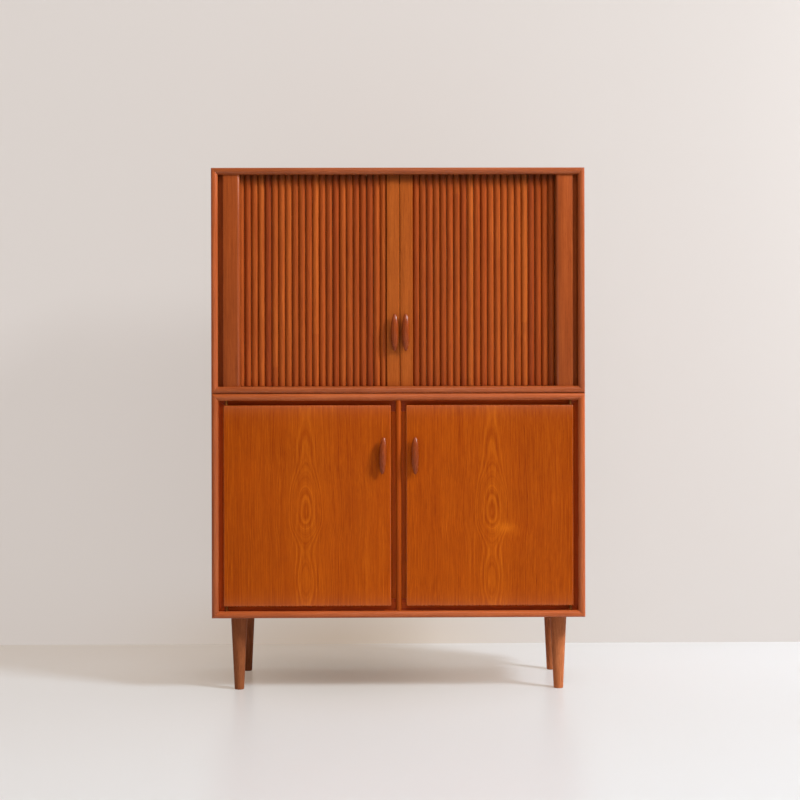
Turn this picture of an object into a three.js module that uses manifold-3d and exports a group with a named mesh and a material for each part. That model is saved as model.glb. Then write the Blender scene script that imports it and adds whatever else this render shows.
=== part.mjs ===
// Tambour door cabinet
// Two slatted curtains close the upper case.
// They slide sideways in a routed track that turns back along its sides.
// Two hinged doors close the lower case, which stands on four turned legs.
// Millimetres, X to the right, Y to the back, Z up, with the origin on the floor under the middle.

import * as THREE from 'three';
import { mergeVertices } from 'three/addons/utils/BufferGeometryUtils.js';
import Module from 'manifold-3d';

const wasm = await Module();
wasm.setup();

// Driving dimensions

const caseWidth = 1050;
const caseDepth = 440;
const legHeight = 210;
const lowerHeight = 631;
const upperHeight = 633.7;

// Clearances

const glueLine = 0.1; // between boards that meet square
const fitGap = 0.3; // around what is let in, drilled or mitred
const overrun = 5; // how far a cutter passes the face that it cuts

// Case boards

const boardThick = 18.5;
const noseRise = 6; // how far the rounded lipping swells in front of its edges
const backThick = 5;
const backRebate = 6;
const backLap = 6; // how far the back board reaches into each rebate
const moat = 15; // the shadow gap between the case and what stands in its front

// Track of the curtains

const trackSetback = 34; // from the front of the case to the middle of the groove
const trackWidth = 7;
const trackDepth = 8;
const trackToSide = 12; // from the inside of the case side to the middle of the groove
const bendRadius = 30;

// Curtains

const slatPitch = 19.1;
const slatWidth = 18.5;
const slatSwell = 6.6; // how far the rounded front stands before the slat's edges
const slatCrest = 6; // from the middle of the track to the front of the slat
const slatBack = 3; // from the middle of the track to the back of the slat
const canvasThick = 1;
const tongueWidth = 12;
const tongueThick = 5;
const shoulderGap = 1; // between a slat's shoulder and the board that it runs along
const topPlay = 1.5; // above the tongues, in the upper groove
const stripSlatCount = 3; // in each strip but the first, which takes what is left over
const gatherRoom = 32; // at least this much is free between the last slat and the case side
const railWidth = 36;
const railCrest = 9;
const railBack = 5;
const railTongueWidth = 20;
const railEase = 1.5;
const meetingPlace = 4.7; // the two curtains meet this far to the right of the middle
const meetingGap = 1.4;

// Stiles that hide the bend of the curtains

const stileWidth = 47.5;
const stileSetback = 8;
const stileThick = 18;
const stileRound = 8;
const flangeLap = 3;
const flangeThick = 7;

// Inside of the upper case

const linerThick = 12;
const linerSetback = 44;
const housingDepth = 4;
const shelfThick = 16;
const shelfSetback = 48;
const upperShelfShare = 0.5;

// Inside of the lower case

const stopSetback = 24;
const stopThick = 18;
const stopLap = 18; // how far a stop reaches behind its door
const postWidth = 15;
const postSetback = 4;
const postRise = 4.5;
const postMoat = 13.5;
const dadoDepth = 6;
const lowerShelfShare = 0.5;

// Lower doors

const doorThick = 19;
const doorSetback = 2;
const doorEase = 2.5;

// Hinges, which are pivots let into the door's ends

const pivotInset = 8; // from the door's edge to its turning axis
const pinRadius = 2.5;
const pinInDoor = 10;
const collarRadius = 3.8;
const leafLength = 40;
const leafWidth = 12;
const leafThick = 2.5;
const leafInset = 2; // from the door's edge to the end of the leaf

// Door catches

const catchRadius = 5;
const catchInPost = 6;
const catchReach = 2.7;
const catchInset = 9; // from the door's edge to the middle of the magnet
const catchDrop = 120; // from the top of the door

// Handles

const handleLength = 105;
const handleWidth = 20;
const handleStand = 24;
const handleTipStand = 11;
const handleNeck = 9; // from the door to the back of the grip
const handleFoot = 34;
const handleFootFlare = 3;
const keelSlope = 0.42;
const keelSteps = 8;
const upperHandleRise = 152.2; // from the floor of the upper case to the middle of the handle
const upperHandleInset = [14.6, 16.4]; // left and right, from the curtains' meeting to the handle's middle
const lowerHandleDrop = 140.5; // from the top of the door to the middle of the handle
const lowerHandleInset = [22.5, 26]; // left and right, from the door's edge to the middle of the handle
const lowerHandleLean = [2.3, 0]; // degrees, left and right

// Legs

const legTopRadius = 23.5;
const legFootRadius = 13.5;
const legEase = 2;
const legInset = 72;
const tenonRadius = 12;
const tenonLength = 12;

// Dowels between the two cases

const dowelRadius = 4;
const dowelReach = 9; // into each case
const dowelInset = 60;

// Smoothness of round shapes

const noseSegments = 8;
const slatSegments = 6;
const bendSegments = 10;
const easeSegments = 2;
const roundSegments = 24;
const legSegments = 36;
const leafSegments = 12;

// Places worked out from the sizes above

const insideX = caseWidth / 2 - boardThick;
const lowerBase = legHeight;
const lowerTop = lowerBase + lowerHeight;
const lowerFloor = lowerBase + boardThick;
const lowerCeiling = lowerTop - boardThick;
const upperBase = lowerTop + fitGap;
const upperTop = upperBase + upperHeight;
const upperFloor = upperBase + boardThick;
const upperCeiling = upperTop - boardThick;
const backFace = caseDepth - backRebate; // the front of the back boards
const doorOuter = insideX - moat;
const doorInner = postWidth / 2 + postMoat;
const doorBottom = lowerFloor + moat;
const doorTop = lowerCeiling - moat;
const doorFront = doorSetback;
const doorMiddle = doorSetback + doorThick / 2;
const doorBack = doorSetback + doorThick;
const pivotX = doorOuter - pivotInset;
const stileInner = insideX - moat - stileWidth;
const stopWidth = moat + stopLap;
const sideTrackX = insideX - trackToSide;
const bendX = sideTrackX - bendRadius;
const bendY = trackSetback + bendRadius;
const handleReach = handleStand + fitGap - doorSetback;
const frontY = handleReach - (caseDepth + handleReach) / 2;
const curtainRoom = insideX - gatherRoom - railWidth - meetingPlace - meetingGap / 2;
const slatCount = Math.floor(curtainRoom / slatPitch);
const stripCount = Math.ceil(slatCount / stripSlatCount);
const sides = [
  { name: 'left', sign: -1, index: 0 },
  { name: 'right', sign: 1, index: 1 },
];

// Materials

const teak = new THREE.MeshStandardMaterial({ color: 0xa85a2c, roughness: 0.48, metalness: 0 });
const slatTeak = new THREE.MeshStandardMaterial({ color: 0x9c4f26, roughness: 0.45, metalness: 0 });
const handleTeak = new THREE.MeshStandardMaterial({ color: 0x8a4526, roughness: 0.4, metalness: 0 });
const plywood = new THREE.MeshStandardMaterial({ color: 0xb08a5c, roughness: 0.7, metalness: 0 });
const brass = new THREE.MeshStandardMaterial({ color: 0xb08d4a, roughness: 0.35, metalness: 1 });
const magnetSteel = new THREE.MeshStandardMaterial({ color: 0x8f8f8c, roughness: 0.4, metalness: 1 });

// The scene: everything stands in one group whose Y starts at the front of the case

const cabinet = new THREE.Group();
cabinet.name = 'tambour_door_cabinet';
cabinet.position.y = frontY;

function addPiece(name, geometry, material, x = 0, y = 0, z = 0) {
  const piece = new THREE.Mesh(geometry, material);
  piece.name = name;
  piece.position.set(x, y, z);
  cabinet.add(piece);
  return piece;
}

// Joining and cutting

function solidOf(geometry) {
  const bare = geometry.clone();
  bare.deleteAttribute('normal');
  bare.deleteAttribute('uv');
  const merged = mergeVertices(bare);
  const vertProperties = new Float32Array(merged.attributes.position.array);
  const triVerts = new Uint32Array(merged.index.array);
  return new wasm.Manifold(new wasm.Mesh({ numProp: 3, vertProperties, triVerts }));
}

function geometryOf(solid) {
  const mesh = solid.getMesh();
  const indexed = new THREE.BufferGeometry();
  indexed.setAttribute('position', new THREE.BufferAttribute(new Float32Array(mesh.vertProperties), 3));
  indexed.setIndex(new THREE.BufferAttribute(new Uint32Array(mesh.triVerts), 1));
  const faceted = indexed.toNonIndexed();
  faceted.computeVertexNormals();
  return faceted;
}

function cut(geometry, cutters) {
  return geometryOf(cutters.reduce((solid, cutter) => solid.subtract(solidOf(cutter)), solidOf(geometry)));
}

function join(geometries) {
  return geometryOf(geometries.map(solidOf).reduce((whole, piece) => whole.add(piece)));
}

// Basic shapes

function block([x0, x1], [y0, y1], [z0, z1]) {
  const geometry = new THREE.BoxGeometry(x1 - x0, y1 - y0, z1 - z0);
  return geometry.translate((x0 + x1) / 2, (y0 + y1) / 2, (z0 + z1) / 2);
}

function mirrored([a, b], sign) {
  return sign > 0 ? [a, b] : [-b, -a];
}

function upright(shape, z0, z1, curveSegments) {
  const settings = { depth: z1 - z0, bevelEnabled: false, curveSegments };
  return new THREE.ExtrudeGeometry(shape, settings).translate(0, 0, z0);
}

function cylinder(radius, z0, z1) {
  const geometry = new THREE.CylinderGeometry(radius, radius, z1 - z0, roundSegments);
  return geometry.rotateX(Math.PI / 2).translate(0, 0, (z0 + z1) / 2);
}

// A shape whose front edge, from x0 to x1, swells forward by rise
function swell(shape, x0, x1, y, rise) {
  const half = (x1 - x0) / 2;
  const radius = (half * half + rise * rise) / (2 * rise);
  const edge = Math.asin(half / radius);
  const down = -Math.PI / 2;
  shape.absarc(x0 + half, y - rise + radius, radius, down - edge, down + edge, false);
}

// Case boards: a profile with a rounded lipping, mitred at both ends
// In a board's own frame X runs inward through its thickness and Z along its length

function boardProfile(hasStop) {
  const shape = new THREE.Shape();
  swell(shape, 0, boardThick, noseRise, noseRise);
  if (hasStop) {
    shape.lineTo(boardThick, stopSetback);
    shape.lineTo(boardThick + stopWidth, stopSetback);
    shape.lineTo(boardThick + stopWidth, stopSetback + stopThick);
    shape.lineTo(boardThick, stopSetback + stopThick);
  }
  shape.lineTo(boardThick, backFace);
  shape.lineTo(boardThick - backLap - fitGap, backFace);
  shape.lineTo(boardThick - backLap - fitGap, caseDepth);
  shape.lineTo(0, caseDepth);
  return shape;
}

function caseBoard(length, hasStop) {
  const geometry = upright(boardProfile(hasStop), -length / 2, length / 2, noseSegments);
  const place = geometry.attributes.position;
  const relief = fitGap / Math.SQRT2;
  for (let i = 0; i < place.count; i += 1) {
    const end = length / 2 - place.getX(i) - relief;
    place.setZ(i, Math.sign(place.getZ(i)) * end);
  }
  return geometry;
}

function caseBoards(base, height, hasStop) {
  const middle = base + height / 2;
  return {
    left: caseBoard(height, hasStop).translate(-caseWidth / 2, 0, middle),
    right: caseBoard(height, hasStop).rotateY(Math.PI).translate(caseWidth / 2, 0, middle),
    top: caseBoard(caseWidth, hasStop).rotateY(Math.PI / 2).translate(0, 0, base + height),
    bottom: caseBoard(caseWidth, hasStop).rotateY(-Math.PI / 2).translate(0, 0, base),
  };
}

function backBoard(base, height) {
  const reach = insideX + backLap;
  const edge = boardThick - backLap;
  const front = backFace + glueLine;
  return block([-reach, reach], [front, front + backThick], [base + edge, base + height - edge]);
}

// Routed track: one groove along the front that turns at both ends and runs out at the back

function trackShape() {
  const outer = bendRadius + trackWidth / 2;
  const inner = bendRadius - trackWidth / 2;
  const end = caseDepth + overrun;
  const shape = new THREE.Shape();
  shape.moveTo(-sideTrackX - trackWidth / 2, end);
  shape.absarc(-bendX, bendY, outer, Math.PI, Math.PI * 1.5, false);
  shape.absarc(bendX, bendY, outer, Math.PI * 1.5, Math.PI * 2, false);
  shape.lineTo(sideTrackX + trackWidth / 2, end);
  shape.lineTo(sideTrackX - trackWidth / 2, end);
  shape.absarc(bendX, bendY, inner, Math.PI * 2, Math.PI * 1.5, true);
  shape.absarc(-bendX, bendY, inner, Math.PI * 1.5, Math.PI, true);
  shape.lineTo(-sideTrackX + trackWidth / 2, end);
  return shape;
}

function trackCutters() {
  const shape = trackShape();
  return {
    top: upright(shape, upperCeiling - overrun, upperCeiling + trackDepth, bendSegments),
    bottom: upright(shape, upperFloor - trackDepth, upperFloor + overrun, bendSegments),
  };
}

// Housings hold the ends of a board, so each is a little larger than the board

function linerSpan(sign) {
  return mirrored([stileInner, stileInner + linerThick], sign);
}

function grown([a, b], by) {
  return [a - by, b + by];
}

function linerHousings(z0, z1) {
  const depth = [linerSetback - fitGap, backFace + overrun];
  return sides.map(({ sign }) => block(grown(linerSpan(sign), fitGap), depth, [z0, z1]));
}

const dowelPlaces = [-1, 1].map((side) => [side * (caseWidth / 2 - dowelInset), caseDepth / 2]);

function dowelHoles() {
  const reach = dowelReach + fitGap;
  const hole = () => cylinder(dowelRadius + fitGap, lowerTop - reach, upperBase + reach);
  return dowelPlaces.map(([x, y]) => hole().translate(x, y, 0));
}

// Upper case

function addUpperCase() {
  const boards = caseBoards(upperBase, upperHeight, false);
  const tracks = trackCutters();
  const topHousings = linerHousings(upperCeiling - overrun, upperCeiling + housingDepth);
  const bottomHousings = linerHousings(upperFloor - housingDepth, upperFloor + overrun);
  addPiece('upper_side_left', boards.left, teak);
  addPiece('upper_side_right', boards.right, teak);
  addPiece('upper_top', cut(boards.top, [tracks.top, ...topHousings]), teak);
  addPiece('upper_bottom', cut(boards.bottom, [tracks.bottom, ...bottomHousings, ...dowelHoles()]), teak);
  addPiece('upper_back', backBoard(upperBase, upperHeight), plywood);
  for (const side of sides) {
    addLiner(side);
    addStile(side);
  }
  addUpperShelf();
}

function shelfHeight(floor, ceiling, share) {
  return floor + (ceiling - floor) * share;
}

function shelfBand(height, grow) {
  return grown([height - shelfThick / 2, height + shelfThick / 2], grow);
}

const shelfEnd = backFace - glueLine;
const housingSpan = [shelfSetback - fitGap, backFace + overrun];
const upperShelfHeight = shelfHeight(upperFloor, upperCeiling, upperShelfShare);
const lowerShelfHeight = shelfHeight(lowerFloor, lowerCeiling, lowerShelfShare);

function addLiner({ name, sign }) {
  const height = grown([upperFloor, upperCeiling], housingDepth - fitGap);
  const board = block(linerSpan(sign), [linerSetback, shelfEnd], height);
  const face = mirrored([stileInner - overrun, stileInner + housingDepth], sign);
  const housing = block(face, housingSpan, shelfBand(upperShelfHeight, fitGap));
  addPiece(`liner_${name}`, cut(board, [housing]), teak);
}

function addStile({ name, sign }) {
  const face = stileSetback;
  const back = stileSetback + stileThick;
  const inner = moat + stileWidth;
  const shape = new THREE.Shape();
  shape.moveTo(glueLine, back);
  shape.lineTo(moat, back);
  shape.lineTo(moat, face);
  shape.absarc(inner - stileRound, face + stileRound, stileRound, -Math.PI / 2, 0, false);
  shape.lineTo(inner, back);
  shape.lineTo(moat + flangeLap, back);
  shape.lineTo(moat + flangeLap, back + flangeThick);
  shape.lineTo(glueLine, back + flangeThick);
  const length = upperCeiling - upperFloor - 2 * glueLine;
  const geometry = upright(shape, -length / 2, length / 2, noseSegments);
  if (sign > 0) {
    geometry.rotateY(Math.PI);
  }
  addPiece(`stile_${name}`, geometry.translate(sign * insideX, 0, (upperFloor + upperCeiling) / 2), teak);
}

function addUpperShelf() {
  const reach = stileInner + housingDepth - fitGap;
  const board = block([-reach, reach], [shelfSetback, shelfEnd], shelfBand(upperShelfHeight, 0));
  addPiece('upper_shelf', board, teak);
}

// Curtains: a lead rail with a handle, then strips of slats on canvas, with tongues that run in the track

function tongues(width, thick, z0, z1) {
  const foot = [upperFloor - trackDepth + fitGap, z0 + overrun];
  const head = [z1 - overrun, upperCeiling + trackDepth - topPlay];
  return [foot, head].map((span) => block([-width / 2, width / 2], [-thick / 2, thick / 2], span));
}

function stripShape(count) {
  const shape = new THREE.Shape();
  const half = (count * slatPitch) / 2;
  const shoulder = (slatPitch - slatWidth) / 2;
  shape.moveTo(-half + shoulder, slatBack + canvasThick);
  for (let i = 0; i < count; i += 1) {
    const x0 = -half + i * slatPitch + shoulder;
    const x1 = x0 + slatWidth;
    shape.lineTo(x0, slatBack);
    swell(shape, x0, x1, slatSwell - slatCrest, slatSwell);
    shape.lineTo(x1, slatBack);
  }
  shape.lineTo(half - shoulder, slatBack + canvasThick);
  return shape;
}

function stripGeometry(count) {
  const z0 = upperFloor + shoulderGap;
  const z1 = upperCeiling - shoulderGap;
  const pieces = [upright(stripShape(count), z0, z1, slatSegments)];
  for (let i = 0; i < count; i += 1) {
    const x = (i - (count - 1) / 2) * slatPitch;
    pieces.push(...tongues(tongueWidth, tongueThick, z0, z1).map((tongue) => tongue.translate(x, 0, 0)));
  }
  return join(pieces);
}

function railGeometry() {
  const half = railWidth / 2;
  const z0 = upperFloor + shoulderGap;
  const z1 = upperCeiling - shoulderGap;
  const shape = new THREE.Shape();
  shape.moveTo(-half, railBack);
  shape.absarc(-half + railEase, -railCrest + railEase, railEase, Math.PI, Math.PI * 1.5, false);
  shape.absarc(half - railEase, -railCrest + railEase, railEase, Math.PI * 1.5, Math.PI * 2, false);
  shape.lineTo(half, railBack);
  return join([upright(shape, z0, z1, easeSegments), ...tongues(railTongueWidth, tongueThick, z0, z1)]);
}

function addCurtains() {
  const rail = railGeometry();
  const firstCount = slatCount - stripSlatCount * (stripCount - 1);
  const counts = Array.from({ length: stripCount }, (_, i) => (i > 0 ? stripSlatCount : firstCount));
  const strips = counts.map(stripGeometry);
  const handleZ = upperFloor + upperHandleRise;
  for (const { name, sign, index } of sides) {
    const start = meetingPlace + (sign * meetingGap) / 2;
    addPiece(`lead_rail_${name}`, rail, teak, start + (sign * railWidth) / 2, trackSetback);
    const handleX = meetingPlace + sign * upperHandleInset[index];
    addHandle(`upper_handle_${name}`, handleX, trackSetback - railCrest, handleZ, 0);
    let reach = railWidth;
    counts.forEach((count, i) => {
      const width = count * slatPitch;
      const middle = start + sign * (reach + width / 2);
      addPiece(`curtain_${name}_${i + 1}`, strips[i], slatTeak, middle, trackSetback);
      reach += width;
    });
  }
}

// Handles: a leaf with a keel, standing off its door on a short foot

function leafCutter() {
  const shape = new THREE.Shape();
  shape.absellipse(0, 0, handleWidth / 2, handleLength / 2, 0, Math.PI * 2, false, 0);
  return upright(shape, 0, handleStand + overrun, leafSegments).rotateX(Math.PI / 2);
}

function gripBody() {
  const half = handleLength / 2;
  const foot = handleFoot / 2;
  const shape = new THREE.Shape();
  shape.moveTo(overrun, -foot - handleFootFlare);
  shape.lineTo(overrun, foot + handleFootFlare);
  shape.quadraticCurveTo(-handleNeck / 2, foot, -handleNeck, foot + handleFootFlare);
  shape.lineTo(-handleTipStand, half);
  shape.quadraticCurveTo(-handleStand * 2 + handleTipStand, 0, -handleTipStand, -half);
  shape.lineTo(-handleNeck, -foot - handleFootFlare);
  shape.quadraticCurveTo(-handleNeck / 2, -foot, overrun, -foot - handleFootFlare);
  const width = handleWidth + 2 * overrun;
  const settings = { depth: width, steps: keelSteps, bevelEnabled: false, curveSegments: leafSegments };
  const body = new THREE.ExtrudeGeometry(shape, settings).translate(0, 0, -width / 2);
  const across = new THREE.Vector3(1, 0, 0);
  const outward = new THREE.Vector3(0, 1, 0);
  const along = new THREE.Vector3(0, 0, 1);
  body.applyMatrix4(new THREE.Matrix4().makeBasis(outward, along, across));
  const place = body.attributes.position;
  for (let i = 0; i < place.count; i += 1) {
    place.setY(i, place.getY(i) + keelSlope * Math.abs(place.getX(i)));
  }
  return body;
}

const handleShape = geometryOf(solidOf(gripBody()).intersect(solidOf(leafCutter())));

function addHandle(name, x, y, z, lean) {
  const handle = addPiece(name, handleShape, handleTeak, x, y - fitGap, z);
  handle.rotation.y = THREE.MathUtils.degToRad(lean);
}

// Lower case

function leafSpan(sign, grow) {
  const start = doorOuter - leafInset;
  return mirrored(grown([start - leafLength, start], grow), sign);
}

function leafBlock(sign, z0, z1, grow) {
  const depth = grown([doorMiddle - leafWidth / 2, doorMiddle + leafWidth / 2], grow);
  return block(leafSpan(sign, grow), depth, [z0, z1]);
}

function leafRecesses(z0, z1) {
  return sides.map(({ sign }) => leafBlock(sign, z0, z1, fitGap));
}

function dado(x0, x1, sign) {
  return block(mirrored([x0, x1], sign), housingSpan, shelfBand(lowerShelfHeight, fitGap));
}

const legPlaces = [legInset, caseDepth - legInset].flatMap((y) =>
  [-1, 1].map((side) => [side * (caseWidth / 2 - legInset), y])
);

function legSockets() {
  const hole = () => cylinder(tenonRadius + fitGap, lowerBase - overrun, lowerBase + tenonLength + fitGap);
  return legPlaces.map(([x, y]) => hole().translate(x, y, 0));
}

function addLowerCase() {
  const boards = caseBoards(lowerBase, lowerHeight, true);
  const sideDado = (sign) => dado(insideX - overrun, insideX + dadoDepth, sign);
  addPiece('lower_side_left', cut(boards.left, [sideDado(-1)]), teak);
  addPiece('lower_side_right', cut(boards.right, [sideDado(1)]), teak);
  const leafDepth = leafThick + glueLine;
  const topCuts = leafRecesses(lowerCeiling - overrun, lowerCeiling + leafDepth);
  const bottomCuts = leafRecesses(lowerFloor - leafDepth, lowerFloor + overrun);
  addPiece('lower_top', cut(boards.top, [...topCuts, ...dowelHoles()]), teak);
  addPiece('lower_bottom', cut(boards.bottom, [...bottomCuts, ...legSockets()]), teak);
  addPiece('lower_back', backBoard(lowerBase, lowerHeight), plywood);
  addPartition();
  addPost();
  for (const { name, sign } of sides) {
    const near = boardThick / 2 - dadoDepth + fitGap;
    const far = insideX + dadoDepth - fitGap;
    const band = shelfBand(lowerShelfHeight, 0);
    const board = block(mirrored([near, far], sign), [shelfSetback, shelfEnd], band);
    addPiece(`lower_shelf_${name}`, board, teak);
  }
  dowelPlaces.forEach(([x, y], i) => {
    const dowel = cylinder(dowelRadius, lowerTop - dowelReach, upperBase + dowelReach);
    addPiece(`locating_dowel_${sides[i].name}`, dowel, teak, x, y);
  });
}

function addPartition() {
  const span = [-boardThick / 2, boardThick / 2];
  const depth = [stopSetback + stopThick + glueLine, shelfEnd];
  const board = block(span, depth, grown([lowerFloor, lowerCeiling], -glueLine));
  const deep = boardThick / 2 - dadoDepth;
  const dados = sides.map(({ sign }) => dado(deep, boardThick / 2 + overrun, sign));
  addPiece('lower_partition', cut(board, dados), teak);
}

function postHalf() {
  return postWidth / 2 + postMoat + stopLap;
}

function catchPlace(sign) {
  return [sign * (doorInner + catchInset), doorTop - catchDrop];
}

function addPost() {
  const shape = new THREE.Shape();
  swell(shape, -postWidth / 2, postWidth / 2, postSetback + postRise, postRise);
  shape.lineTo(postWidth / 2, stopSetback + stopThick / 2);
  shape.lineTo(-postWidth / 2, stopSetback + stopThick / 2);
  const nose = upright(shape, lowerFloor + glueLine, lowerCeiling - glueLine, noseSegments);
  const wide = [-postHalf(), postHalf()];
  const height = [lowerFloor + stopWidth + fitGap, lowerCeiling - stopWidth - fitGap];
  const stop = block(wide, [stopSetback, stopSetback + stopThick], height);
  // the nose is notched to pass in front of the stops above and below, with the wide stop between them
  const notch = (span) => block(wide, [stopSetback - fitGap, stopSetback + stopThick + overrun], span);
  const trimmed = cut(nose, [
    notch([lowerFloor - overrun, lowerFloor + stopWidth + fitGap]),
    notch([lowerCeiling - stopWidth - fitGap, lowerCeiling + overrun]),
  ]);
  const socket = cylinder(catchRadius + fitGap, stopSetback - overrun, stopSetback + catchInPost + fitGap);
  const sockets = sides.map(({ sign }) => {
    const [x, z] = catchPlace(sign);
    return socket.clone().rotateX(-Math.PI / 2).translate(x, 0, z);
  });
  addPiece('centre_post', cut(join([trimmed, stop]), sockets), teak);
}

function addCatches() {
  for (const { name, sign } of sides) {
    const [x, z] = catchPlace(sign);
    const body = cylinder(catchRadius, stopSetback - catchReach, stopSetback + catchInPost);
    addPiece(`magnet_catch_${name}`, body.rotateX(-Math.PI / 2), magnetSteel, x, 0, z);
  }
}

// Lower doors

function doorGeometry() {
  const width = doorOuter - doorInner;
  const height = doorTop - doorBottom;
  const shape = new THREE.Shape();
  shape.moveTo(-width / 2, -height / 2);
  shape.lineTo(width / 2, -height / 2);
  shape.lineTo(width / 2, height / 2);
  shape.lineTo(-width / 2, height / 2);
  const settings = {
    depth: doorThick - 2 * doorEase,
    bevelThickness: doorEase,
    bevelSize: doorEase,
    bevelOffset: -doorEase,
    bevelSegments: easeSegments,
  };
  const slab = new THREE.ExtrudeGeometry(shape, settings).translate(0, 0, doorEase).rotateX(Math.PI / 2);
  return slab.translate(0, doorBack, (doorTop + doorBottom) / 2);
}

function addDoors() {
  const middle = (doorOuter + doorInner) / 2;
  const leafDepth = leafThick + glueLine;
  const ends = [
    [doorBottom - overrun, doorBottom + leafDepth],
    [doorTop - leafDepth, doorTop + overrun],
  ];
  const holeDepth = pinInDoor + fitGap;
  const holes = [
    [doorBottom - overrun, doorBottom + holeDepth],
    [doorTop - holeDepth, doorTop + overrun],
  ];
  for (const { name, sign, index } of sides) {
    const slab = doorGeometry().translate(sign * middle, 0, 0);
    const recesses = ends.map(([z0, z1]) => leafBlock(sign, z0, z1, fitGap));
    const bore = ([z0, z1]) => cylinder(pinRadius + fitGap, z0, z1).translate(sign * pivotX, doorMiddle, 0);
    addPiece(`door_${name}`, cut(slab, [...recesses, ...holes.map(bore)]), teak);
    const handleX = sign * (doorInner + lowerHandleInset[index]);
    const handleZ = doorTop - lowerHandleDrop;
    addHandle(`lower_handle_${name}`, handleX, doorFront, handleZ, lowerHandleLean[index]);
  }
}

// Pivot hinges: a leaf with a pin on the case, and a leaf with a hole on the door

function pinLeaf(sign) {
  const plate = leafBlock(sign, -leafThick, 0, 0);
  const collar = cylinder(collarRadius, -leafThick / 2, moat - fitGap);
  const pin = cylinder(pinRadius, -leafThick / 2, moat + pinInDoor);
  return join([plate, ...[collar, pin].map((round) => round.translate(sign * pivotX, doorMiddle, 0))]);
}

function holeLeaf(sign) {
  const plate = leafBlock(sign, 0, leafThick, 0);
  const bore = cylinder(pinRadius + fitGap, -overrun, leafThick + overrun);
  return cut(plate, [bore.translate(sign * pivotX, doorMiddle, 0)]);
}

// The upper leaf is the lower one turned upside down about the door's middle plane
function turnedOver(geometry) {
  return geometry.translate(0, -doorMiddle, 0).rotateX(Math.PI).translate(0, doorMiddle, 0);
}

function addHinges() {
  for (const { name, sign } of sides) {
    addPiece(`hinge_pin_leaf_${name}_bottom`, pinLeaf(sign), brass, 0, 0, lowerFloor);
    addPiece(`hinge_pin_leaf_${name}_top`, turnedOver(pinLeaf(sign)), brass, 0, 0, lowerCeiling);
    addPiece(`hinge_door_leaf_${name}_bottom`, holeLeaf(sign), brass, 0, 0, doorBottom);
    addPiece(`hinge_door_leaf_${name}_top`, turnedOver(holeLeaf(sign)), brass, 0, 0, doorTop);
  }
}

// Legs: a turned taper with a tenon that is glued into the lower case

function legGeometry() {
  const profile = [
    [0, 0],
    [legFootRadius - legEase, 0],
    [legFootRadius, legEase],
    [legTopRadius, legHeight - glueLine],
    [tenonRadius, legHeight - glueLine],
    [tenonRadius, legHeight + tenonLength],
    [0, legHeight + tenonLength],
  ];
  const points = profile.map(([r, z]) => new THREE.Vector2(r, z));
  return new THREE.LatheGeometry(points, legSegments).rotateX(Math.PI / 2);
}

function addLegs() {
  const names = ['front_left', 'front_right', 'back_left', 'back_right'];
  legPlaces.forEach(([x, y], i) => {
    addPiece(`leg_${names[i]}`, legGeometry(), teak, x, y);
  });
}

addLegs();
addLowerCase();
addDoors();
addCatches();
addHinges();
addUpperCase();
addCurtains();

export default cabinet;
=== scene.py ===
# Tambour door cabinet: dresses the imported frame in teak, sets the light and the camera
import math
import random

import bmesh
import bpy
from mathutils import Matrix, Vector


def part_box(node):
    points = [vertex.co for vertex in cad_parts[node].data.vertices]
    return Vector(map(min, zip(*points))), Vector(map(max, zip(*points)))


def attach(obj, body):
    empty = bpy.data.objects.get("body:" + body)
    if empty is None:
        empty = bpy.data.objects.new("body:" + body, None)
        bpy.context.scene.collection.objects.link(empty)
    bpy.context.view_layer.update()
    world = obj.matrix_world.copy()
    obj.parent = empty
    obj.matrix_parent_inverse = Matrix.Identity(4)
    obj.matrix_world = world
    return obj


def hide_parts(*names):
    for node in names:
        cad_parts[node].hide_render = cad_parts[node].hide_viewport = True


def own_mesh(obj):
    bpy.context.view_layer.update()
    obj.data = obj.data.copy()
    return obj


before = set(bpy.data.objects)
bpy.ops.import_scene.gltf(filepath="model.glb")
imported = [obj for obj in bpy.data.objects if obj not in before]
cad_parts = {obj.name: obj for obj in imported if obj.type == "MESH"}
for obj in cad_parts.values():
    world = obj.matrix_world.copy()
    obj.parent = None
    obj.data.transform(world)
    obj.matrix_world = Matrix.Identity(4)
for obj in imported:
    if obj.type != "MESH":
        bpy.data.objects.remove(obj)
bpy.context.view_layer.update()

mm = 0.001
scene = bpy.context.scene
dice = random.Random(11)  # every random choice below comes from here, so each run is the same
sides = {"left": -1, "right": 1}


# Colours are written as they are seen on a screen, 0 to 255
def tint(red, green, blue):
    def linear(value):
        share = value / 255
        return share / 12.92 if share <= 0.04045 else ((share + 0.055) / 1.055) ** 2.4
    return (linear(red), linear(green), linear(blue), 1)


# Node helpers

def setInputs(tree, node, inputs):
    # a socket is linked, and anything else becomes the input's own value
    for key, value in inputs.items():
        if isinstance(value, bpy.types.NodeSocket):
            tree.links.new(value, node.inputs[key])
        else:
            node.inputs[key].default_value = value


def addNode(tree, kind, inputs=None, **settings):
    node = tree.nodes.new(f"ShaderNode{kind}")
    for key, value in settings.items():
        setattr(node, key, value)
    setInputs(tree, node, inputs or {})
    return node


# The commonest sums go by their signs
signs = {"+": "ADD", "-": "SUBTRACT", "*": "MULTIPLY", "/": "DIVIDE", "*+": "MULTIPLY_ADD"}


def calc(tree, kind, first, second=0.0, third=0.0, clamp=False):
    inputs = {0: first, 1: second, 2: third}
    return addNode(tree, "Math", inputs, operation=signs.get(kind, kind), use_clamp=clamp).outputs[0]


def squared(tree, value):
    return calc(tree, "*", value, value)


def calcVector(tree, operation, first, second):
    return addNode(tree, "VectorMath", {0: first, 1: second}, operation=operation).outputs


def partOf(tree, vector, axis):
    return addNode(tree, "SeparateXYZ", {"Vector": vector}).outputs[axis]


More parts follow.
